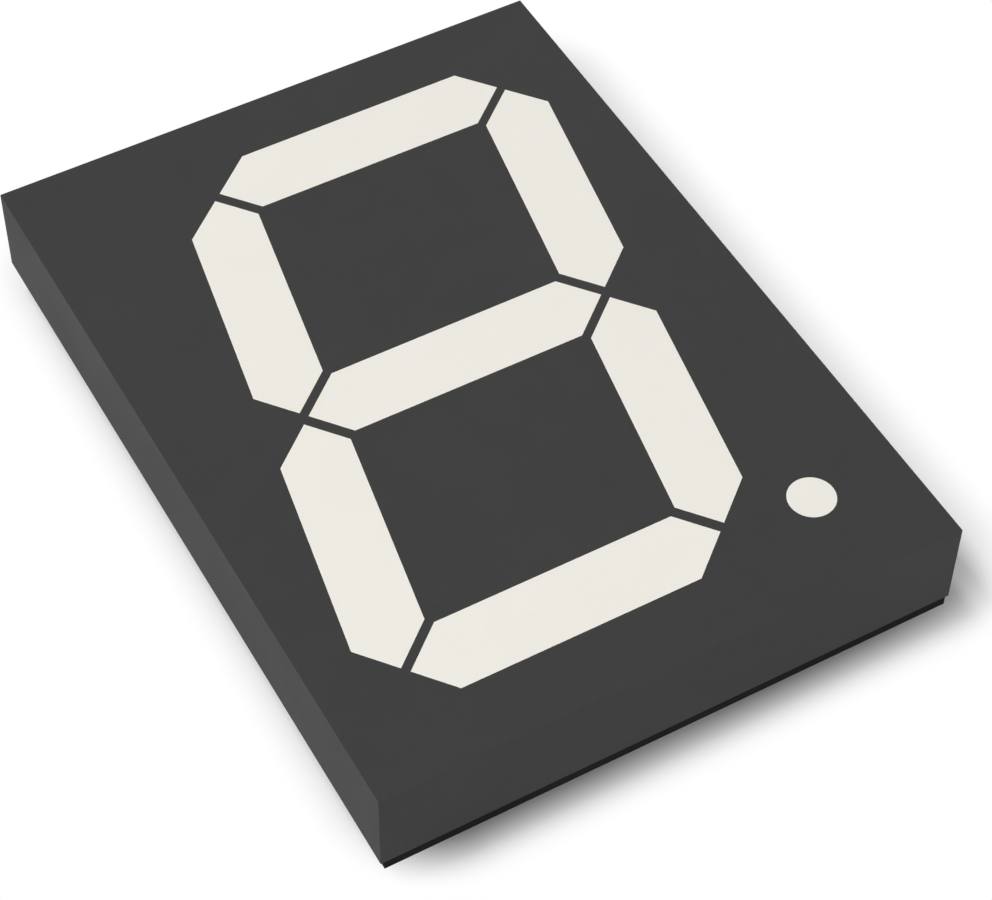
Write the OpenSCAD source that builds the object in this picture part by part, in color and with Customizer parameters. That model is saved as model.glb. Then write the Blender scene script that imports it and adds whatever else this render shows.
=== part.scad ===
// Seven segment display: one large digit with a decimal point, lying face up. Sizes in millimetres.
// The origin is at the middle of the seating plane, where the pins' shoulders meet a host board.
// +Z points out of the face, +Y points up the digit and +X to the digit's right.

/* [Housing] */
// Width of the moulded housing, across the digit
body_w = 90; // [84:0.5:112]
// Height of the moulded housing, up the digit
body_h = 122; // [118:0.5:150]
// Depth of the moulded housing, from the board to the face
body_d = 15; // [10:0.5:20]
// Thickness of the four outer walls
wall_t = 1.6; // [1:0.1:2.4]
// Thickness of the face
face_t = 1.8; // [1.2:0.1:2.6]
// Thickness of the walls round the light cavities
funnel_t = 1.2; // [0.8:0.1:1.6]
// Thickness of the stiffening ribs behind the face
rib_t = 1.2; // [0.8:0.1:2]
// Room between the ribs' lower edges and the board
rib_room = 3; // [1:0.5:6]

/* [Digit] */
// Height of the digit
digit_h = 101.6; // [92:0.1:106]
// Width of the digit, before its slant
digit_w = 61; // [54:0.1:64]
// Width of each bar at the face
stroke = 11; // [9:0.1:14]
// Gap between the mitred ends of two bars
mitre_gap = 1.5; // [0.8:0.1:3]
// Slant of the digit, in degrees
slant = 10; // [0:0.5:12]
// How far a bar's cavity draws in on each side, from the face down to the board
bar_draft = 2.6; // [1:0.1:3.2]

/* [Decimal point] */
// Diameter of the decimal point at the face
point_d = 7; // [5:0.1:8]
// Distance from the digit's right side to the decimal point
point_gap = 4.3; // [3:0.1:4.5]
// Height of the decimal point above the digit's foot
point_rise = 1; // [0:0.1:4]
// How far the decimal point's cavity draws in all round, down to the board
point_draft = 0.8; // [0.3:0.1:1.5]

/* [Circuit board] */
// Thickness of the board
board_t = 1.6; // [1:0.1:2.4]
// How far the board's long edges stand in from the housing's sides
board_inset = 0.55; // [0:0.05:1]

/* [Pegs] */
// Diameter of the pegs that hold the board
peg_d = 3; // [2:0.1:4]
// Clearance all round a peg in the board's hole
peg_clearance = 0.1; // [0.05:0.01:0.2]
// Diameter of a peg's staked head
head_d = 5; // [4.6:0.1:6]
// Height of a peg's staked head below the board
head_h = 0.7; // [0.4:0.1:0.9]
// Width of the pit that the staking punch's point leaves in the middle of a head
pit_d = 1; // [0.8:0.1:1.4]
// Height of a head's middle below the board, at the bottom of its pit
pit_floor = 0.2; // [0.1:0.05:0.3]
// Diameter of the boss that each peg stands on
boss_d = 6; // [5:0.1:7]
// Distance from the housing's edges to the outer pegs
peg_edge = 6.5; // [5.5:0.1:7.5]

/* [Pins] */
// Number of pins in each row
pins_per_row = 5; // [2:1:8]
// Distance between neighbouring pins
pin_pitch = 2.54; // [2.5:0.01:5.08]
// Distance between the upper and the lower row
row_spacing = 111.76; // [111.5:0.01:114.5]
// Diameter of a pin's tail
tail_d = 0.8; // [0.5:0.05:0.9]
// Length of a pin's tail, from its shoulder to its tip
tail_l = 4; // [2.5:0.1:6]
// Chamfer round the tip of a tail
tip_chamfer = 0.15; // [0.05:0.01:0.2]
// Diameter of a pin's shank, a press fit in the board
shank_d = 1.2; // [1.2:0.05:1.5]
// Height of the board above the pins' shoulders
standoff = 1; // [1:0.1:2]
// How far a shank stands up behind the housing's face
shank_rise = 0.5; // [0.2:0.1:1]
// Leg of the solder fillet round each shank
solder_leg = 0.5; // [0.3:0.05:0.6]
// Thickness at which the solder's thin edge ends
solder_edge = 0.06; // [0.03:0.01:0.1]

/* [Light chips] */
// Number of chips along each bar
chips_in_bar = 8; // [2:1:8]
// Number of chips in the decimal point
chips_in_point = 2; // [1:1:2]
// Distance between neighbouring chips in a bar
bar_chip_pitch = 4; // [2:0.1:4.1]
// Distance between neighbouring chips in the decimal point
point_chip_pitch = 2; // [1.6:0.1:2.2]
// Width of a square chip
chip_w = 0.36; // [0.25:0.01:0.5]
// Height of a chip
chip_h = 0.24; // [0.1:0.01:0.3]
// Diameter of the bond wires
wire_d = 0.05; // [0.04:0.01:0.1]
// Distance that a bond wire spans, from its chip to its pad
wire_span = 1; // [0.6:0.1:1.2]

/* [Hidden] */
$fn = 48;
// Overlap that lets two shapes join or cut cleanly
lap = 0.2;

board_z = standoff;
board_top = board_z + board_t;
face_z = board_top + body_d;

// Middle lines of the digit's upright and level bars
column_x = (digit_w - stroke) / 2;
row_y = (digit_h - stroke) / 2;

// A bar's name, its middle, the distance from there to the corner it points at, and whether it is upright
BARS = [
    ["a", [0, row_y], column_x, false],
    ["b", [column_x, row_y / 2], row_y / 2, true],
    ["c", [column_x, -row_y / 2], row_y / 2, true],
    ["d", [0, -row_y], column_x, false],
    ["e", [-column_x, -row_y / 2], row_y / 2, true],
    ["f", [-column_x, row_y / 2], row_y / 2, true],
    ["g", [0, 0], column_x, false]
];
function bar_name(bar) = bar[0];
function bar_middle(bar) = bar[1];
function bar_reach(bar) = bar[2];
function bar_upright(bar) = bar[3];

// A place in the upright digit, moved to where the slant carries it
function slanted(place) = [place.x + place.y * tan(slant), place.y];

point_place = slanted([
    digit_w / 2 + point_gap + point_d / 2,
    point_rise + (point_d - digit_h) / 2
]);

// Pegs near the corners, at the sides and in the middle of the digit's two windows
PEG_PLACES = concat(
    [for (x = [-1, 1], y = [-1, 0, 1]) [x * (body_w / 2 - peg_edge), y * (body_h / 2 - peg_edge)]],
    [for (y = [-1, 1]) slanted([0, y * row_y / 2])]
);

// Pins run from the lower left to the lower right, then back along the upper row
PINS = [1 : 2 * pins_per_row];
function pin_place(number) =
    let (
        upper = number > pins_per_row,
        column = upper ? 2 * pins_per_row - number : number - 1
    )
    [(column - (pins_per_row - 1) / 2) * pin_pitch, (upper ? 1 : -1) * row_spacing / 2];

// The inset of a cavity's side at height z, when it draws in by draft from the face to the board
function inset_at(z, draft) = draft * (face_z - z) / body_d;

// The six corners of a pointed bar whose sides are moved in by inset, with ends mitred at 45 degrees
function bar_outline(bar, inset) =
    let (
        half = stroke / 2 - inset,
        tip = bar_reach(bar) - mitre_gap / sqrt(2) - inset * sqrt(2),
        shoulder = tip - half,
        corners = [
            [tip, 0],
            [shoulder, half],
            [-shoulder, half],
            [-tip, 0],
            [-shoulder, -half],
            [shoulder, -half]
        ]
    )
    [for (p = corners) slanted(bar_middle(bar) + (bar_upright(bar) ? [-p.y, p.x] : p))];

// A solid with six flat sides that joins two outlines, one above the other
module loft(lower, low, upper, high) {
    count = len(lower);
    next = function (i) (i + 1) % count;
    polyhedron(
        points = concat([for (p = lower) [p.x, p.y, low]], [for (p = upper) [p.x, p.y, high]]),
        faces = concat(
            [[for (i = [0 : count - 1]) i]],
            [[for (i = [0 : count - 1]) 2 * count - 1 - i]],
            [for (i = [0 : count - 1]) [i, count + i, count + next(i), next(i)]]
        )
    );
}

// A bar's light cavity between two heights, made larger all round by grow
module bar_funnel(bar, low, high, grow = 0) {
    loft(
        bar_outline(bar, inset_at(low, bar_draft) - grow), low,
        bar_outline(bar, inset_at(high, bar_draft) - grow), high
    );
}

// The decimal point's light cavity between two heights, made larger all round by grow
module point_funnel(low, high, grow = 0) {
    translate([point_place.x, point_place.y, low])
        cylinder(
            h = high - low,
            r1 = point_d / 2 - inset_at(low, point_draft) + grow,
            r2 = point_d / 2 - inset_at(high, point_draft) + grow
        );
}

// A box centred on the origin in X and Y, between two heights
module slab(size_x, size_y, low, high) {
    translate([-size_x / 2, -size_y / 2, low]) cube([size_x, size_y, high - low]);
}

// The outer walls and the face, open towards the board
module shell() {
    difference() {
        slab(body_w, body_h, board_top, face_z);
        slab(body_w - 2 * wall_t, body_h - 2 * wall_t, board_top - lap, face_z - face_t);
    }
}

// Cross ribs on the digit's own lines, and one spine that follows its slant
module ribs() {
    low = board_top + rib_room;
    high = face_z - face_t / 2;
    for (row = [-2 : 2])
        translate([0, row * row_y / 2, 0]) slab(body_w - wall_t, rib_t, low, high);
    spine_end = (body_h - wall_t) / 2;
    translate([0, 0, low])
        linear_extrude(high - low)
            polygon([
                for (corner = [[-1, -1], [1, -1], [1, 1], [-1, 1]])
                    slanted([corner.x * rib_t / 2, corner.y * spine_end])
            ]);
}

// A peg's end, melted into a rolled ring against the board by a punch with a point in its middle
module staked_head() {
    ring_w = (head_d - pit_d) / 2;
    ring_r = (pow(ring_w / 2, 2) + pow(head_h, 2)) / (2 * head_h);
    rotate_extrude() {
        intersection() {
            translate([(pit_d + ring_w) / 2, ring_r - head_h]) circle(r = ring_r);
            translate([pit_d / 2, -head_h]) square([ring_w, head_h]);
        }
        translate([0, -pit_floor]) square([peg_d / 2, pit_floor + lap]);
    }
}

// A boss behind the face, with a peg that passes through the board and is staked under it
module peg() {
    translate([0, 0, board_top]) cylinder(h = body_d - face_t / 2, d = boss_d);
    translate([0, 0, board_z]) {
        cylinder(h = board_t + lap, d = peg_d);
        staked_head();
    }
}

// The moulding: each light cavity is cut with its resin's own shape, so that the two fit face to face
module reflector_housing() {
    color("#424242")
        difference() {
            union() {
                shell();
                ribs();
                for (place = PEG_PLACES) translate(place) peg();
                for (bar = BARS) bar_funnel(bar, board_top, face_z - face_t / 2, grow = funnel_t);
                point_funnel(board_top, face_z - face_t / 2, grow = funnel_t);
            }
            for (bar = BARS) bar_funnel(bar, board_top, face_z);
            point_funnel(board_top, face_z);
        }
}

module circuit_board() {
    color("#1d1f20")
        difference() {
            slab(body_w - 2 * board_inset, body_h, board_z, board_top);
            for (place = PEG_PLACES) translate([place.x, place.y, board_z - lap])
                cylinder(h = board_t + 2 * lap, d = peg_d + 2 * peg_clearance);
            for (number = PINS) translate([pin_place(number).x, pin_place(number).y, board_z - lap])
                cylinder(h = board_t + 2 * lap, d = shank_d);
        }
}

// A turned pin: a thin tail, a shoulder on the seating plane, and a shank through the board
module pin(number) {
    color("#c9cacc")
        translate(pin_place(number))
            rotate_extrude()
                polygon([
                    [0, -tail_l],
                    [tail_d / 2 - tip_chamfer, -tail_l],
                    [tail_d / 2, tip_chamfer - tail_l],
                    [tail_d / 2, 0],
                    [shank_d / 2, 0],
                    [shank_d / 2, board_top + shank_rise],
                    [0, board_top + shank_rise]
                ]);
}

// A hollow fillet of solder round each shank, under the board
module solder_joints() {
    centre = solder_leg + solder_edge;
    color("#b4b6b8")
        for (number = PINS) translate([pin_place(number).x, pin_place(number).y, board_z])
            rotate_extrude()
                translate([shank_d / 2, -solder_leg])
                    difference() {
                        square(solder_leg);
                        translate([centre, -solder_edge]) circle(r = solder_leg);
                    }
}

// Places count copies in a line, pitch apart and centred on the origin
module in_line(count, pitch) {
    for (i = [0 : count - 1]) translate([(i - (count - 1) / 2) * pitch, 0, 0]) children();
}

// Places its child on the board at each chip of a bar, turned to run along the bar
module along_bar(bar) {
    place = slanted(bar_middle(bar));
    translate([place.x, place.y, board_top])
        rotate(bar_upright(bar) ? 90 - slant : 0)
            in_line(chips_in_bar, bar_chip_pitch) children();
}

// Places its child on the board at each chip of the decimal point
module along_point() {
    translate([point_place.x, point_place.y, board_top])
        in_line(chips_in_point, point_chip_pitch) children();
}

module chip() {
    color("#d8b74a") slab(chip_w, chip_w, 0, chip_h);
}

// A half ring from the chip's top, carried straight down to the board at its far end
module bond_wire() {
    color("#e0bc55") {
        translate([wire_span / 2, 0, chip_h])
            rotate([90, 0, 0])
                rotate_extrude(angle = 180) translate([wire_span / 2, 0]) circle(d = wire_d);
        translate([wire_span, 0, 0]) cylinder(h = chip_h, d = wire_d);
    }
}

// The cast resin of one bar: it fills the cavity, and is moulded round the chips and their wires
module segment(bar) {
    color("#ece9e1")
        difference() {
            bar_funnel(bar, board_top, face_z);
            along_bar(bar) chip();
            along_bar(bar) bond_wire();
        }
}

module decimal_point() {
    color("#ece9e1")
        difference() {
            point_funnel(board_top, face_z);
            along_point() chip();
            along_point() bond_wire();
        }
}

reflector_housing();
circuit_board();
solder_joints();
for (bar = BARS) {
    segment(bar);
    along_bar(bar) chip();
    along_bar(bar) bond_wire();
}
decimal_point();
along_point() chip();  // led_chips_point
along_point() bond_wire();  // bond_wires_point
for (number = PINS) {
    pin(number);
}
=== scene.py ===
"""A large seven segment display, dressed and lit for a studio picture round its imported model."""

import logging
import math
from collections.abc import Sequence
from dataclasses import dataclass, field
from enum import Enum

import bmesh
import bpy
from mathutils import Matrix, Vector


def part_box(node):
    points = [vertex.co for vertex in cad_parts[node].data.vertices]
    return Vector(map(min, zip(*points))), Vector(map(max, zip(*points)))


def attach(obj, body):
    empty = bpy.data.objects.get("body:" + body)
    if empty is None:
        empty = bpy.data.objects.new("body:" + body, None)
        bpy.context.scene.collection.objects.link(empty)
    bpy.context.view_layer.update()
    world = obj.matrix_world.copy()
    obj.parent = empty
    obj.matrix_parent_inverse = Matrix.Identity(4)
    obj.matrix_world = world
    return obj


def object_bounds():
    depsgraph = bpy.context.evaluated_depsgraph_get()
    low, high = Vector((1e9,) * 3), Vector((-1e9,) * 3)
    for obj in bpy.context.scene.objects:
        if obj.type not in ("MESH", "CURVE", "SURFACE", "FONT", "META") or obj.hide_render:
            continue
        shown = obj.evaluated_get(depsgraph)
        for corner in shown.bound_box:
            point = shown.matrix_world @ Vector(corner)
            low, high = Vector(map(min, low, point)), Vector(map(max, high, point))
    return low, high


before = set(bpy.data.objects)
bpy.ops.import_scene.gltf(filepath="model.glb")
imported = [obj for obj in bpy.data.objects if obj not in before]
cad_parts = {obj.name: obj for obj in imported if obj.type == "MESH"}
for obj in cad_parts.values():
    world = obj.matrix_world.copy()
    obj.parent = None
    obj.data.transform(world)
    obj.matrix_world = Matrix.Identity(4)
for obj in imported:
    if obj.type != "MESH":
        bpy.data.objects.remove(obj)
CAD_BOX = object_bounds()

log = logging.getLogger("display")
MM = 0.001
WELD = 0.0005 * MM
ROOT = "root"
TOE, TOE_SLOPE, OFFSET, POWER = 0.04045, 12.92, 0.055, 2.4
Socket = bpy.types.NodeSocket
Colour = tuple[float, float, float, float]


def tint(code: str) -> Colour:
    """Turns a colour card's code into the linear colour that shaders use.

    Args:
        code: Six hexadecimal digits, red first.

    Returns:
        Linear red, green and blue, with an alpha of 1.
    """
    values = [int(code[i:i + 2], 16) / 255 for i in (0, 2, 4)]
    linear = [v / TOE_SLOPE if v <= TOE else ((v + OFFSET) / (1 + OFFSET)) ** POWER for v in values]
    return (*linear, 1.0)


class NodeSheet:
    """A node tree with short ways to place nodes and join them."""

    def __init__(self, tree: bpy.types.NodeTree) -> None:
        """Takes an empty node tree to draw in."""
        self.tree = tree

    def place(self, kind: str, inputs: dict | None = None, **settings: object) -> bpy.types.Node:
        """Places one node.

        Args:
            kind: The node's type, without its "ShaderNode" prefix.
            inputs: Values or output sockets, keyed by an input's name or number.
            **settings: Attributes of the node, such as operation.

        Returns:
            The new node.
        """
        node = self.tree.nodes.new("ShaderNode" + kind)
        for name, value in settings.items():
            setattr(node, name, value)
        for key, value in (inputs or {}).items():
            if isinstance(value, Socket):
                self.tree.links.new(value, node.inputs[key])
            else:
                node.inputs[key].default_value = value
        return node

    def math(self, operation: str, first: Socket | float, second: Socket | float = 0.0) -> Socket:
        """Joins two values by a Math node and returns its output."""
        return self.place("Math", {0: first, 1: second}, operation=operation).outputs[0]

    def shares(self, first: Socket, of_first: float, second: Socket, of_second: float) -> Socket:
        """Returns the sum of two values, each taken by its share."""
        rest = self.math("MULTIPLY", second, of_second)
        return self.math("ADD", self.math("MULTIPLY", first, of_first), rest)

    def band(self, value: Socket, low: float, high: float, to_low: float, to_high: float) -> Socket:
        """Maps a value from one range smoothly to another and holds it there.

        Args:
            value: The value to map.
            low: Where the first range starts.
            high: Where the first range ends.
            to_low: The result at low.
            to_high: The result at high.

        Returns:
            The mapped value.
        """
        inputs = {"Value": value, "From Min": low, "From Max": high, "To Min": to_low, "To Max": to_high}
        return self.place("MapRange", inputs, interpolation_type="SMOOTHSTEP").outputs["Result"]

    def noise(self, place: Socket, scale: Socket | float, detail: float = 2.0) -> Socket:
        """Returns plain noise at a scale counted per metre."""
        return self.place("TexNoise", {"Vector": place, "Scale": scale, "Detail": detail}).outputs["Fac"]

    def mix(self, mask: Socket | float, first: Socket | Colour, second: Socket | Colour) -> Socket:
        """Blends two colours by a mask and returns the colour."""
        inputs = {"Factor": mask, 6: first, 7: second}
        return self.place("Mix", inputs, data_type="RGBA").outputs[2]


Draft = tuple[NodeSheet, dict[str, Socket], bpy.types.Node]


class Effects:
    """Shader node groups for effects that several finishes use, each made once."""

    CLOUD_SHARE, FLECK_SHARE, FLECKS_FINER = 1.3, 0.7, 23.0
    FINE_SHARE, BROAD_SHARE, BROAD_RATIO = 0.7, 0.3, 0.21
    SMEARS_FROM, SMEARS_TO = 0.34, 0.62

    def __init__(self) -> None:
        """Builds the groups."""
        self.mottle = self._mottle()
        self.grain = self._grain()
        self.handling = self._handling()

    @staticmethod
    def _new(name: str, inputs: dict[str, str], outputs: dict[str, str]) -> Draft:
        """Starts a group.

        Args:
            name: The group's name.
            inputs: Socket types by input name.
            outputs: Socket types by output name.

        Returns:
            The sheet to draw on, the group's inputs as sockets, and its output node.
        """
        tree = bpy.data.node_groups.new(name, "ShaderNodeTree")
        for key, kind in inputs.items():
            tree.interface.new_socket(key, in_out="INPUT", socket_type=kind)
        for key, kind in outputs.items():
            tree.interface.new_socket(key, in_out="OUTPUT", socket_type=kind)
        entry = tree.nodes.new("NodeGroupInput")
        leave = tree.nodes.new("NodeGroupOutput")
        return NodeSheet(tree), {key: entry.outputs[key] for key in inputs}, leave

    def _mottle(self) -> bpy.types.NodeTree:
        """Draws the group that varies a colour's lightness in broad clouds and in fine flecks.

        Returns:
            The group.
        """
        sheet, given, leave = self._new(
            "mottle",
            {"Vector": "NodeSocketVector", "Color": "NodeSocketColor", "Scale": "NodeSocketFloat",
             "Amount": "NodeSocketFloat"},
            {"Color": "NodeSocketColor"},
        )
        finer = sheet.math("MULTIPLY", given["Scale"], self.FLECKS_FINER)
        clouds = sheet.noise(given["Vector"], given["Scale"], detail=3.0)
        flecks = sheet.noise(given["Vector"], finer, detail=1.0)
        blend = sheet.shares(clouds, self.CLOUD_SHARE, flecks, self.FLECK_SHARE)
        swing = sheet.math("SUBTRACT", blend, (self.CLOUD_SHARE + self.FLECK_SHARE) / 2)
        level = sheet.math("ADD", sheet.math("MULTIPLY", swing, given["Amount"]), 1.0)
        scaled = sheet.place("VectorMath", {0: given["Color"], "Scale": level}, operation="SCALE")
        sheet.tree.links.new(scaled.outputs["Vector"], leave.inputs["Color"])
        return sheet.tree

    def _grain(self) -> bpy.types.NodeTree:
        """Draws the group that gives the height of a fine grain, from 0 to 1.

        Returns:
            The group.
        """
        sheet, given, leave = self._new(
            "grain",
            {"Vector": "NodeSocketVector", "Scale": "NodeSocketFloat"},
            {"Height": "NodeSocketFloat"},
        )
        broader = sheet.math("MULTIPLY", given["Scale"], self.BROAD_RATIO)
        fine = sheet.noise(given["Vector"], given["Scale"], detail=2.0)
        broad = sheet.noise(given["Vector"], broader, detail=1.0)
        height = sheet.shares(fine, self.FINE_SHARE, broad, self.BROAD_SHARE)
        sheet.tree.links.new(height, leave.inputs["Height"])
        return sheet.tree

    def _handling(self) -> bpy.types.NodeTree:
        """Draws the group that gives a roughness between two limits, rubbed smoother here and there.

        Returns:
            The group.
        """
        sheet, given, leave = self._new(
            "handling",
            {"Vector": "NodeSocketVector", "Scale": "NodeSocketFloat", "Rubbed": "NodeSocketFloat",
             "Fresh": "NodeSocketFloat"},
            {"Roughness": "NodeSocketFloat"},
        )
        smears = sheet.noise(given["Vector"], given["Scale"], detail=4.0)
        mask = sheet.band(smears, self.SMEARS_FROM, self.SMEARS_TO, 0.0, 1.0)
        span = sheet.math("SUBTRACT", given["Fresh"], given["Rubbed"])
        rough = sheet.math("ADD", given["Rubbed"], sheet.math("MULTIPLY", span, mask))
        sheet.tree.links.new(rough, leave.inputs["Roughness"])
        return sheet.tree


@dataclass(frozen=True)
class Finish:
    """What every finish has: a name, a colour, its mottle, its grain and its roughness.

    Scales are counted per metre. The roughness runs from rubbed to fresh.
    """

    name: str
    colour: str
    effects: Effects
    mottle_scale: float = 60.0
    mottle_amount: float = 0.08
    grain_scale: float = 4500.0
    grain_depth: float = 0.004 * MM
    rubbed: float = 0.45
    fresh: float = 0.6
    handling_scale: float = 45.0
    metallic: float = 0.0
    specular: float = 0.5
    edge_radius: float = 0.0
    edge_samples: int = 6

    def build(self) -> bpy.types.Material:
        """Makes the material.

        Returns:
            The finished material.
        """
        material = bpy.data.materials.new(self.name)
        material.use_nodes = True
        material.node_tree.nodes.clear()
        sheet = NodeSheet(material.node_tree)
        place = sheet.place("TexCoord").outputs["Object"]
        constants = {"Metallic": self.metallic, "Specular IOR Level": self.specular}
        shader = sheet.place("BsdfPrincipled", constants)
        self.paint(sheet, shader, place)
        leave = sheet.place("OutputMaterial")
        sheet.tree.links.new(shader.outputs["BSDF"], leave.inputs["Surface"])
        return material

    def paint(self, sheet: NodeSheet, shader: bpy.types.Node, place: Socket) -> None:
        """Joins colour, roughness and normal to the shader.

        Args:
            sheet: The material's node sheet.
            shader: The material's main shader.
            place: Object coordinates.
        """
        sheet.tree.links.new(self.coloured(sheet, place), shader.inputs["Base Color"])
        sheet.tree.links.new(self.roughened(sheet, place), shader.inputs["Roughness"])
        sheet.tree.links.new(self.bumped(sheet, self.relief(sheet, place)), shader.inputs["Normal"])

    def coloured(self, sheet: NodeSheet, place: Socket) -> Socket:
        """Returns the base colour with its mottle."""
        return self.mottled(sheet, place, tint(self.colour), self.mottle_amount)

    def mottled(self, sheet: NodeSheet, place: Socket, colour: Socket | Colour, amount: float) -> Socket:
        """Returns a colour passed through the shared mottle group."""
        inputs = {"Vector": place, "Color": colour, "Scale": self.mottle_scale, "Amount": amount}
        return self.grouped(sheet, self.effects.mottle, inputs, "Color")

    def roughened(self, sheet: NodeSheet, place: Socket) -> Socket:
        """Returns the roughness, from the shared handling group."""
        inputs = {"Vector": place, "Scale": self.handling_scale, "Rubbed": self.rubbed, "Fresh": self.fresh}
        return self.grouped(sheet, self.effects.handling, inputs, "Roughness")

    def relief(self, sheet: NodeSheet, place: Socket) -> Socket:
        """Returns the height of the surface's grain, in parts of grain_depth."""
        inputs = {"Vector": place, "Scale": self.grain_scale}
        return self.grouped(sheet, self.effects.grain, inputs, "Height")

    def bumped(self, sheet: NodeSheet, height: Socket) -> Socket:
        """Bumps the surface by its relief, and rounds its edges where the finish asks for it.

        Args:
            sheet: The material's node sheet.
            height: The relief, in parts of grain_depth.

        Returns:
            The bumped normal.
        """
        inputs: dict = {"Height": height, "Distance": self.grain_depth, "Strength": 1.0}
        if self.edge_radius:
            rounded = sheet.place("Bevel", {"Radius": self.edge_radius}, samples=self.edge_samples)
            inputs["Normal"] = rounded.outputs["Normal"]
        return sheet.place("Bump", inputs).outputs["Normal"]

    @staticmethod
    def grouped(sheet: NodeSheet, tree: bpy.types.NodeTree, inputs: dict, output: str) -> Socket:
        """Places a shared group in a material.

        Args:
            sheet: The material's node sheet.
            tree: The group.
            inputs: Values or output sockets, keyed by an input's name.
            output: The name of the output to use.

        Returns:
            That output.
        """
        node = sheet.place("Group")
        node.node_tree = tree
        for key, value in inputs.items():
            if isinstance(value, Socket):
                sheet.tree.links.new(value, node.inputs[key])
            else:
                node.inputs[key].default_value = value
        return node.outputs[output]


@dataclass(frozen=True)
class PaintedMoulding(Finish):
    """White reflector plastic with matte paint on its outside, melted smooth on the staked peg heads.

    The paint covers what is nearer than wrap to the outside, the housing's furthest corner.
    """

    plastic: str = "E4E4E0"
    outside: tuple[float, float, float] = (0.0, 0.0, 0.0)
    wrap: tuple[float, float, float] = (0.6 * MM, 0.02 * MM, 0.02 * MM)
    melted_below: float = 0.0
    melted_blend: float = 0.1 * MM
    melted_roughness: float = 0.32

    def coloured(self, sheet: NodeSheet, place: Socket) -> Socket:
        """Joins the paint on the outside to the plastic inside the cavities and on the pegs.

        Args:
            sheet: The material's node sheet.
            place: Object coordinates.

        Returns:
            The base colour.
        """
        paint = super().coloured(sheet, place)
        plastic = self.mottled(sheet, place, tint(self.plastic), self.mottle_amount / 2)
        return sheet.mix(self.painted(sheet, place), plastic, paint)

    def painted(self, sheet: NodeSheet, place: Socket) -> Socket:
        """Finds where the paint is.

        Args:
            sheet: The material's node sheet.
            place: Object coordinates.

        Returns:
            1 on the face, the outer sides and the rims beside the board, and 0 elsewhere.
        """
        axes = sheet.place("SeparateXYZ", {"Vector": place}).outputs
        mask: Socket | float = 0.0
        for axis, reach, wrap in zip("XYZ", self.outside, self.wrap):
            distance = sheet.math("ABSOLUTE", axes[axis])
            mask = sheet.math("MAXIMUM", sheet.math("GREATER_THAN", distance, reach - wrap), mask)
        return mask

    def roughened(self, sheet: NodeSheet, place: Socket) -> Socket:
        """Makes the surface smoother below the height where the pegs were melted.

        Args:
            sheet: The material's node sheet.
            place: Object coordinates.

        Returns:
            The roughness.
        """
        plain = super().roughened(sheet, place)
        height = sheet.place("SeparateXYZ", {"Vector": place}).outputs["Z"]
        mask = sheet.band(height, self.melted_below - self.melted_blend, self.melted_below, 0.0, 1.0)
        gap = sheet.math("SUBTRACT", plain, self.melted_roughness)
        return sheet.math("ADD", sheet.math("MULTIPLY", gap, mask), self.melted_roughness)


@dataclass(frozen=True)
class CastResin(Finish):
    """Diffused casting resin: off-white, faintly cloudy, with specks of diffusing powder."""

    speck_scale: float = 1500.0
    speck_core: float = 0.08
    speck_edge: float = 0.22
    speck_strength: float = 0.5
    speck_colour: str = "F6F4EF"

    def coloured(self, sheet: NodeSheet, place: Socket) -> Socket:
        """Puts pale specks into the clouded colour.

        Args:
            sheet: The material's node sheet.
            place: Object coordinates.

        Returns:
            The base colour.
        """
        base = super().coloured(sheet, place)
        cells = sheet.place("TexVoronoi", {"Vector": place, "Scale": self.speck_scale}).outputs["Distance"]
        specks = sheet.band(cells, self.speck_core, self.speck_edge, self.speck_strength, 0.0)
        return sheet.mix(specks, base, tint(self.speck_colour))


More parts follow.
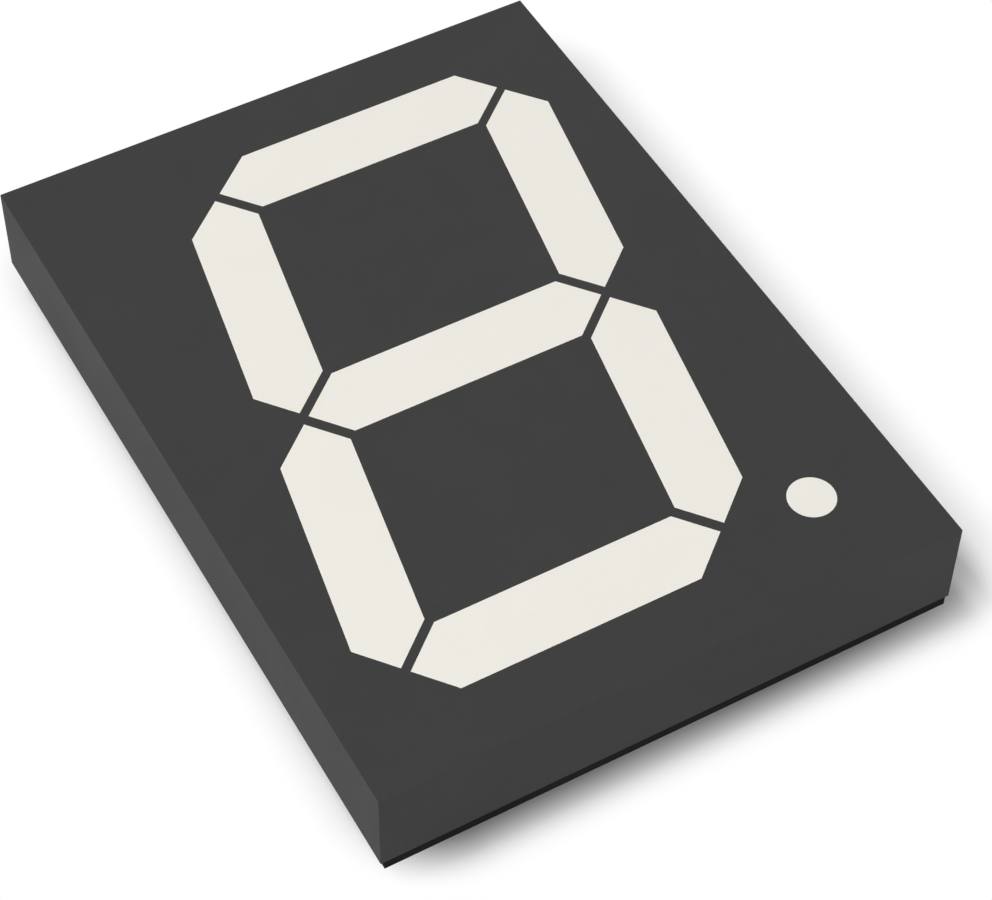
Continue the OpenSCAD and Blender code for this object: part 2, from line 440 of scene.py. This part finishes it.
@dataclass(frozen=True)
class MaskedLaminate(Finish):
    """Glass-epoxy board: glossy solder mask on its two faces, and cut layers of cloth on its edges."""

    edge_colour: str = "111314"
    ply: float = 0.2 * MM
    ply_dark: float = 0.75
    ply_pale: float = 1.2
    fibre_scale: float = 2600.0
    fibre_band: tuple[float, float] = (0.3, 0.7)
    fibre_dark: float = 0.8
    fibre_pale: float = 1.2
    cut_roughening: float = 0.35
    weave_pitch: float = 0.55 * MM
    weave_share: float = 0.35
    coat: float = 0.8
    coat_roughness: float = 0.18
    face_tilt: float = 0.5

    def paint(self, sheet: NodeSheet, shader: bpy.types.Node, place: Socket) -> None:
        """Joins what every finish has, and the mask's clear gloss on the board's faces.

        Args:
            sheet: The material's node sheet.
            shader: The material's main shader.
            place: Object coordinates.
        """
        super().paint(sheet, shader, place)
        shader.inputs["Coat Roughness"].default_value = self.coat_roughness
        gloss = sheet.math("MULTIPLY", self.on_face(sheet), self.coat)
        sheet.tree.links.new(gloss, shader.inputs["Coat Weight"])

    def coloured(self, sheet: NodeSheet, place: Socket) -> Socket:
        """Joins the mask's colour on the faces to the layered laminate of the cut edges.

        Args:
            sheet: The material's node sheet.
            place: Object coordinates.

        Returns:
            The base colour.
        """
        mask = self.mottled(sheet, place, tint(self.colour), self.mottle_amount)
        height = sheet.place("SeparateXYZ", {"Vector": place}).outputs["Z"]
        wave = sheet.math("SINE", sheet.math("MULTIPLY", height, math.tau / self.ply))
        layers = sheet.band(wave, -1.0, 1.0, self.ply_dark, self.ply_pale)
        noise = sheet.noise(place, self.fibre_scale, detail=3.0)
        fibres = sheet.band(noise, *self.fibre_band, self.fibre_dark, self.fibre_pale)
        inputs = {0: tint(self.edge_colour)[:3], "Scale": sheet.math("MULTIPLY", layers, fibres)}
        cut = sheet.place("VectorMath", inputs, operation="SCALE").outputs["Vector"]
        return sheet.mix(self.on_face(sheet), cut, mask)

    def roughened(self, sheet: NodeSheet, place: Socket) -> Socket:
        """Makes the cut edges rougher than the satin faces.

        Args:
            sheet: The material's node sheet.
            place: Object coordinates.

        Returns:
            The roughness.
        """
        plain = super().roughened(sheet, place)
        on_edge = sheet.math("SUBTRACT", 1.0, self.on_face(sheet))
        rise = sheet.math("MULTIPLY", on_edge, self.cut_roughening)
        return sheet.math("MINIMUM", sheet.math("ADD", plain, rise), 1.0)

    def relief(self, sheet: NodeSheet, place: Socket) -> Socket:
        """Lets the glass cloth's weave show faintly through the mask's grain.

        Args:
            sheet: The material's node sheet.
            place: Object coordinates.

        Returns:
            The relief, in parts of grain_depth.
        """
        grain = super().relief(sheet, place)
        axes = sheet.place("SeparateXYZ", {"Vector": place}).outputs
        turn = math.tau / self.weave_pitch
        warp, weft = (sheet.math("SINE", sheet.math("MULTIPLY", axes[axis], turn)) for axis in "XY")
        weave = sheet.math("MULTIPLY", sheet.math("MULTIPLY", warp, weft), self.weave_share)
        return sheet.math("ADD", grain, weave)

    def on_face(self, sheet: NodeSheet) -> Socket:
        """Tells the board's faces from its edges.

        Args:
            sheet: The material's node sheet.

        Returns:
            1 on the two faces and 0 on the edges.
        """
        normal = sheet.place("NewGeometry").outputs["Normal"]
        up = sheet.place("SeparateXYZ", {"Vector": normal}).outputs["Z"]
        return sheet.math("GREATER_THAN", sheet.math("ABSOLUTE", up), self.face_tilt)


class Slot(Enum):
    """Names of two of the record's material slots; nothing in this script uses them."""

    BOARD = "board"
    SOLDER = "solder"


@dataclass
class Palette:
    """All finishes of the display, made once."""

    housing_outside: tuple[float, float, float]
    board_back: float
    effects: Effects = field(default_factory=Effects)

    def __post_init__(self) -> None:
        """Builds the materials."""
        shared = {"effects": self.effects}
        self.housing = PaintedMoulding(
            "painted_moulding", "383838", **shared, specular=0.12, rubbed=0.58, fresh=0.63,
            mottle_scale=180.0, mottle_amount=0.12, grain_scale=5200.0, grain_depth=0.08 * MM,
            outside=self.housing_outside, melted_below=self.board_back,
        ).build()
        self.resin = CastResin(
            "cast_resin", "EDEAE2", **shared, specular=0.3, rubbed=0.42, fresh=0.55,
            mottle_scale=110.0, mottle_amount=0.025, grain_scale=900.0, grain_depth=0.006 * MM,
        ).build()
        self.board = MaskedLaminate(
            "masked_laminate", "1A1C1E", **shared, specular=0.05, rubbed=0.3, fresh=0.4, mottle_amount=0.15,
            grain_scale=2500.0, grain_depth=0.006 * MM, edge_radius=0.06 * MM,
        ).build()
        self.mask_over_copper = Finish(
            "mask_over_copper", "343A3C", **shared, rubbed=0.28, fresh=0.38, mottle_amount=0.15,
            grain_scale=2500.0, grain_depth=0.004 * MM,
        ).build()
        self.tin = Finish(
            "tinned_brass", "D4D5D6", **shared, metallic=1.0, rubbed=0.22, fresh=0.36,
            mottle_scale=700.0, grain_scale=6000.0, grain_depth=0.003 * MM,
        ).build()
        self.solder = Finish(
            "solder", "BFC1C3", **shared, metallic=1.0, rubbed=0.24, fresh=0.42,
            mottle_scale=900.0, mottle_amount=0.15, grain_scale=3500.0, grain_depth=0.01 * MM,
        ).build()
        self.gold = Finish(
            "gold_wire", "E0BC55", **shared, metallic=1.0, rubbed=0.15, fresh=0.25,
            mottle_scale=900.0, grain_scale=9000.0, grain_depth=0.001 * MM,
        ).build()
        self.crystal = Finish(
            "light_chip", "B89A3A", **shared, rubbed=0.08, fresh=0.16, mottle_scale=1500.0,
            mottle_amount=0.2, grain_scale=9000.0, grain_depth=0.001 * MM,
        ).build()


def dress(nodes: Sequence[str], material: bpy.types.Material) -> None:
    """Gives CAD nodes a finish.

    Args:
        nodes: The nodes' names.
        material: The finish to put in every slot.
    """
    for name in nodes:
        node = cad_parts[name]
        for slot in node.material_slots:
            slot.material = material
        log.info("%s wears %s", name, material.name)


def publish(name: str, shape: bmesh.types.BMesh, material: bpy.types.Material) -> None:
    """Turns a finished shape into a piece of the display.

    Args:
        name: The piece's name.
        shape: The mesh being built. It is freed here.
        material: The piece's finish.
    """
    bmesh.ops.remove_doubles(shape, verts=shape.verts, dist=WELD)
    bmesh.ops.recalc_face_normals(shape, faces=shape.faces)
    mesh = bpy.data.meshes.new(name)
    shape.to_mesh(mesh)
    shape.free()
    mesh.materials.append(material)
    piece = bpy.data.objects.new(name, mesh)
    bpy.context.scene.collection.objects.link(piece)
    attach(piece, ROOT)
    log.info("%s has %d faces", name, len(mesh.polygons))


def numbered(prefix: str) -> list[str]:
    """Returns the CAD nodes whose names start with a prefix."""
    return sorted(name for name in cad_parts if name.startswith(prefix))


@dataclass
class Housing:
    """The moulded reflector housing."""

    palette: Palette

    def build(self) -> None:
        """Dresses the housing."""
        dress(["reflector_housing"], self.palette.housing)


@dataclass
class Digit:
    """The lit parts: resin castings, with chips and bond wires sealed in them."""

    palette: Palette

    def build(self) -> None:
        """Dresses the castings and what they hold."""
        dress([*numbered("segment_"), "decimal_point"], self.palette.resin)
        dress(numbered("led_chips_"), self.palette.crystal)
        dress(numbered("bond_wires_"), self.palette.gold)


class Copper(Enum):
    """The widths that the tracks come in, in millimetres."""

    SIGNAL = 1.1
    POINT_FEED = 1.3
    BRANCH = 1.6
    SPINE = 2.0


@dataclass(frozen=True)
class Track:
    """A copper track on the board's back: its bends, in millimetres as seen from the face, and its width."""

    bends: tuple[tuple[float, float], ...]
    width: Copper = Copper.SIGNAL

    def turned(self) -> "Track":
        """Returns the track after half a turn about the board's middle."""
        return Track(tuple((-x, -y) for x, y in self.bends), self.width)

    def sides(self, number: int) -> tuple[Vector, Vector]:
        """Returns the two edge points at a bend, mitred so that the width holds round it.

        Args:
            number: Which bend, from 0.

        Returns:
            The left and the right edge point, in millimetres.
        """
        here = Vector(self.bends[number])
        steps = []
        if number > 0:
            steps.append((here - Vector(self.bends[number - 1])).normalized())
        if number < len(self.bends) - 1:
            steps.append((Vector(self.bends[number + 1]) - here).normalized())
        ahead = sum(steps, Vector((0, 0))).normalized()
        across = Vector((-ahead.y, ahead.x)) * self.width.value / 2 / ahead.dot(steps[0])
        return here + across, here - across


@dataclass
class BoardBack:
    """What the board carries on its back: masked copper tracks, tinned lands and tented vias."""

    palette: Palette
    under: float
    pins: Sequence[Vector]
    copper: float = 0.05 * MM
    copper_step: float = 0.0004 * MM
    bedded: float = 0.01 * MM
    land_inner: float = 1.0 * MM
    land_outer: float = 1.25 * MM
    land_soft: float = 0.03 * MM
    land_sides: int = 48
    between_rows: float = 50.0
    via_sides: int = 32
    via_outer: float = 0.95 * MM
    via_inner: float = 0.8 * MM
    via_rim: float = 0.3 * MM
    via_slope: float = 0.1 * MM
    via_height: float = 0.12 * MM
    via_dimple: float = 0.06 * MM

    def build(self) -> None:
        """Builds the three pieces."""
        self.tracks()
        self.vias()
        self.lands()

    def routes(self) -> list[Track]:
        """Plans the tracks. The layout of bars e, d and c turned round serves bars b, a and f.

        Returns:
            All tracks.
        """
        bar_e = Track(((-5.08, -55.88), (-5.08, -54.6), (-6.68, -53), (-31, -53), (-34, -50), (-34, -39.15),
                       (-31.5, -36.65)))
        bar_d = Track(((-2.54, -55.88), (-2.54, -50), (-7.24, -45.3), (-22, -45.3)))
        bar_c = Track(((2.54, -55.88), (2.54, -54), (4.04, -52.5), (23.5, -52.5), (26, -50), (26, -44.1),
                       (18.55, -36.65)))
        bar_g = Track(((-5.08, 55.88), (-6.76, 54.2), (-26, 54.2), (-34, 46.2), (-34, 3), (-31, 0), (-14, 0)))
        point = Track(((5.08, -55.88), (6.76, -54.2), (26.5, -54.2), (29.1, -51.6), (29.1, -46.3)))
        feeds = [
            Track(((0, -55.88), (0, 55.88)), Copper.SPINE),
            Track(((0, -45.3), (6, -45.3)), Copper.BRANCH),
            Track(((-26.5, -8.65), (23.5, -8.65)), Copper.BRANCH),
        ]
        point_route = ((23.5, -8.65), (33.5, -18.65), (33.5, -43.95), (31.15, -46.3))
        point_feed = Track(point_route, Copper.POINT_FEED)
        middle_feed = Track(((0, 0), (14, 0)), Copper.BRANCH)
        twice = [bar_e, bar_d, bar_c, *feeds[1:]]
        return [feeds[0], *twice, *(track.turned() for track in twice), bar_g, point, point_feed, middle_feed]

    def tracks(self) -> None:
        """Lays the tracks as raised strips, each a hair lower than the last so that none share a plane."""
        shape = bmesh.new()
        for order, track in enumerate(self.routes()):
            self.lay(shape, track, self.copper - order * self.copper_step)
        publish("masked_tracks", shape, self.palette.mask_over_copper)

    def lay(self, shape: bmesh.types.BMesh, track: Track, thickness: float) -> None:
        """Draws one track out along its bends and gives it its thickness.

        Args:
            shape: The mesh that takes the track.
            track: The track to lay.
            thickness: How far it stands out from the board.
        """
        level = self.under + self.bedded
        left, right = (shape.verts.new((*(side * MM), level)) for side in track.sides(0))
        edge = shape.edges.new((left, right))
        faces = []
        for number in range(1, len(track.bends)):
            drawn = bmesh.ops.extrude_edge_only(shape, edges=[edge])["geom"]
            fresh = [item for item in drawn if isinstance(item, bmesh.types.BMVert)]
            faces += [item for item in drawn if isinstance(item, bmesh.types.BMFace)]
            ends = [side * MM for side in track.sides(number)]
            fresh.sort(key=lambda vert: (vert.co - left.co).length)
            for vert, end in zip(fresh, ends):
                vert.co = (*end, level)
            left, right = fresh
            edge = shape.edges.get((left, right))
        lifted = bmesh.ops.extrude_face_region(shape, geom=faces)["geom"]
        verts = [item for item in lifted if isinstance(item, bmesh.types.BMVert)]
        bmesh.ops.translate(shape, verts=verts, vec=(0, 0, -thickness - self.bedded))

    def vias(self) -> None:
        """Makes a tented via at each free end of a track: a low cap of mask with a dimple over its hole."""
        shape = bmesh.new()
        ends = {track.bends[side] for track in self.routes() for side in (0, -1)}
        free = [end for end in sorted(ends) if end[0] and abs(end[1]) < self.between_rows]
        depth = self.via_height + self.bedded
        middle = self.under + self.bedded - depth / 2
        for end in free:
            cap = bmesh.ops.create_cone(
                shape, cap_ends=True, segments=self.via_sides, radius1=self.via_inner, radius2=self.via_outer,
                depth=depth,
            )["verts"]
            bmesh.ops.translate(shape, verts=cap, vec=(*(Vector(end) * MM), middle))
            faces = (face for vert in cap for face in vert.link_faces)
            crown = min(faces, key=lambda face: face.calc_center_median().z)
            bmesh.ops.inset_region(shape, faces=[crown], thickness=self.via_rim)
            bmesh.ops.inset_region(shape, faces=[crown], thickness=self.via_slope, depth=-self.via_dimple)
        publish("tented_vias", shape, self.palette.mask_over_copper)

    def lands(self) -> None:
        """Turns a tinned land round each pin, with a softened outer edge."""
        shape = bmesh.new()
        for pin in self.pins:
            profile = [
                (self.land_inner, self.bedded), (self.land_outer, self.bedded),
                (self.land_outer, self.land_soft - self.copper),
                (self.land_outer - self.land_soft, -self.copper),
                (self.land_inner, -self.copper),
            ]
            verts = [shape.verts.new((pin.x + out, pin.y, self.under + rise)) for out, rise in profile]
            edges = [shape.edges.new((vert, verts[i - 1])) for i, vert in enumerate(verts)]
            bmesh.ops.spin(
                shape, geom=[*verts, *edges], cent=(pin.x, pin.y, 0), axis=(0, 0, 1), angle=math.tau,
                steps=self.land_sides, use_merge=True,
            )
        publish("tinned_lands", shape, self.palette.tin)


@dataclass
class Studio:
    """Camera, lamps and floor.

    Round the display the floor carries a painted shadow: its grey matte tone shows inside a rounded box that
    leans away from the key lamp, and fades to plain white emission outside it, over the lamps' own shadow.
    """

    face_centre: Vector
    reach: Vector
    floor_height: float
    stand: Vector = field(default_factory=lambda: Vector((-130.80, -237.62, 312.01)) * MM)
    heading: float = math.radians(28.81)
    dip: float = math.radians(49.73)
    lens: float = 104.63
    sensor: float = 36.0
    shift: tuple[float, float] = (0.0395, -0.0594)
    ambient: float = 0.2
    # The floor's grey near the display, which is also the tone of its painted shadow.
    floor_tone: float = 0.78
    floor_half: float = 3.0
    # Painted shadow on the floor: where its grey band leans, how its corners round, and where it fades to
    # white.
    painted_shadow_lean: Vector = field(default_factory=lambda: Vector((7.8, 5.6, 0)) * MM)
    painted_shadow_round: Vector = field(default_factory=lambda: Vector((7.6, 7.6, 0)) * MM)
    painted_shadow_from: float = 9.1 * MM
    painted_shadow_to: float = 19.6 * MM

    def build(self) -> None:
        """Sets up everything that the picture needs besides the display."""
        view = bpy.context.scene.view_settings
        view.view_transform = "Standard"
        self.camera()
        self.world()
        self.floor()
        self.softbox("key", Vector((-560, 60, 1250)), width=200, height=200, power=9.0)
        self.softbox("high", Vector((-290, 180, 1340)), width=120, height=120, power=3.3)
        self.softbox("overhead", Vector((-50, 60, 1360)), width=400, height=400, power=1.4)
        self.softbox("low left", Vector((-640, -40, 60)), width=400, height=120, power=0.26)
        self.softbox("front", Vector((60, -620, 150)), width=500, height=260, power=0.98)
        self.softbox("back", Vector((840, 760, 520)), width=800, height=600, power=1.36)

    def camera(self) -> None:
        """Stands the camera before the display."""
        data = bpy.data.cameras.new("camera")
        data.lens = self.lens
        data.sensor_width = self.sensor
        data.shift_x, data.shift_y = self.shift
        camera = bpy.data.objects.new("camera", data)
        ahead = Vector((
            math.sin(self.heading) * math.cos(self.dip),
            math.cos(self.heading) * math.cos(self.dip),
            -math.sin(self.dip),
        ))
        camera.location = self.face_centre + self.stand
        camera.rotation_euler = ahead.to_track_quat("-Z", "Y").to_euler()
        bpy.context.scene.collection.objects.link(camera)
        bpy.context.scene.camera = camera

    @staticmethod
    def seen(sheet: NodeSheet) -> Socket:
        """Finds the rays that show a surface in the picture.

        Args:
            sheet: The node sheet of the world or of a material.

        Returns:
            1 for rays from the camera, straight or by way of gloss or glass, and 0 for the rest.
        """
        light = sheet.place("LightPath").outputs
        direct = sheet.math("MAXIMUM", light["Is Camera Ray"], light["Is Glossy Ray"])
        return sheet.math("MAXIMUM", direct, light["Is Transmission Ray"])

    def world(self) -> None:
        """Makes a white surround that lights the display only softly."""
        world = bpy.data.worlds.new("surround")
        world.use_nodes = True
        world.node_tree.nodes.clear()
        sheet = NodeSheet(world.node_tree)
        dim = sheet.place("Background", {"Color": tint("FFFFFF"), "Strength": self.ambient})
        white = sheet.place("Background", {"Color": tint("FFFFFF"), "Strength": 1.0})
        inputs = {0: self.seen(sheet), 1: dim.outputs[0], 2: white.outputs[0]}
        mixed = sheet.place("MixShader", inputs)
        leave = sheet.place("OutputWorld")
        sheet.tree.links.new(mixed.outputs[0], leave.inputs["Surface"])
        bpy.context.scene.world = world

    def plain(self, sheet: NodeSheet) -> Socket:
        """Finds where the floor's painted shadow round the display gives way to plain white.

        Args:
            sheet: The floor's node sheet.

        Returns:
            0 inside the painted shadow round the display, rising to 1 where the floor looks plain white.
        """
        place = sheet.place("TexCoord").outputs["Object"]
        moved = sheet.place("VectorMath", {0: place, 1: self.painted_shadow_lean}, operation="SUBTRACT")
        mirrored = sheet.place("VectorMath", {0: moved.outputs["Vector"]}, operation="ABSOLUTE")
        core = self.reach - self.painted_shadow_round
        beyond = sheet.place("VectorMath", {0: mirrored.outputs["Vector"], 1: core}, operation="SUBTRACT")
        outside = sheet.place("VectorMath", {0: beyond.outputs["Vector"], 1: (0, 0, 0)}, operation="MAXIMUM")
        away = sheet.place("VectorMath", {0: outside.outputs["Vector"]}, operation="LENGTH")
        return sheet.band(away.outputs["Value"], self.painted_shadow_from, self.painted_shadow_to, 0.0, 1.0)

    def floor(self) -> None:
        """Lays a pale floor under the pins' tips: grey matte round the display as a painted shadow, running
        out into plain white further away.
        """
        shape = bmesh.new()
        bmesh.ops.create_grid(shape, x_segments=1, y_segments=1, size=self.floor_half)
        bmesh.ops.translate(shape, verts=shape.verts, vec=(0, 0, self.floor_height))
        mesh = bpy.data.meshes.new("floor")
        shape.to_mesh(mesh)
        shape.free()
        material = bpy.data.materials.new("floor")
        material.use_nodes = True
        material.node_tree.nodes.clear()
        sheet = NodeSheet(material.node_tree)
        matte = sheet.place("BsdfDiffuse", {"Color": (self.floor_tone,) * 3 + (1,)})
        white = sheet.place("Emission", {"Strength": 1.0})
        # Painted shadow: the grey matte floor shows only inside the leaned band, with plain white emission
        # beyond it.
        plain = sheet.math("MULTIPLY", self.plain(sheet), self.seen(sheet))
        both = sheet.place("MixShader", {0: plain, 1: matte.outputs[0], 2: white.outputs[0]})
        leave = sheet.place("OutputMaterial")
        sheet.tree.links.new(both.outputs[0], leave.inputs["Surface"])
        mesh.materials.append(material)
        floor = bpy.data.objects.new("floor", mesh)
        bpy.context.scene.collection.objects.link(floor)

    def softbox(self, name: str, place: Vector, width: float, height: float, power: float) -> None:
        """Hangs a soft lamp that faces the display.

        Args:
            name: The lamp's name.
            place: Its middle, in millimetres from the middle of the face.
            width: Its width in millimetres.
            height: Its height in millimetres.
            power: Its power in watts.
        """
        data = bpy.data.lights.new(name, "AREA")
        data.shape = "RECTANGLE"
        data.size, data.size_y = width * MM, height * MM
        data.energy = power
        lamp = bpy.data.objects.new(name, data)
        lamp.location = self.face_centre + place * MM
        lamp.rotation_euler = (-place).to_track_quat("-Z", "Y").to_euler()
        bpy.context.scene.collection.objects.link(lamp)


def main() -> None:
    """Builds the display's look, then the studio round it."""
    logging.basicConfig(level=logging.INFO, format="%(message)s")
    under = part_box("circuit_board")[0].z
    palette = Palette(housing_outside=tuple(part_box("reflector_housing")[1]), board_back=under)
    Housing(palette).build()
    Digit(palette).build()
    dress(["circuit_board"], palette.board)
    dress(numbered("pin_"), palette.tin)
    dress(["solder_joints"], palette.solder)
    pins = [sum(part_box(name), Vector()) / 2 for name in numbered("pin_")]
    BoardBack(palette, under, pins).build()
    low, high = CAD_BOX
    Studio(face_centre=Vector((0, 0, high.z)), reach=high, floor_height=low.z).build()


if __name__ == "__main__":
    main()
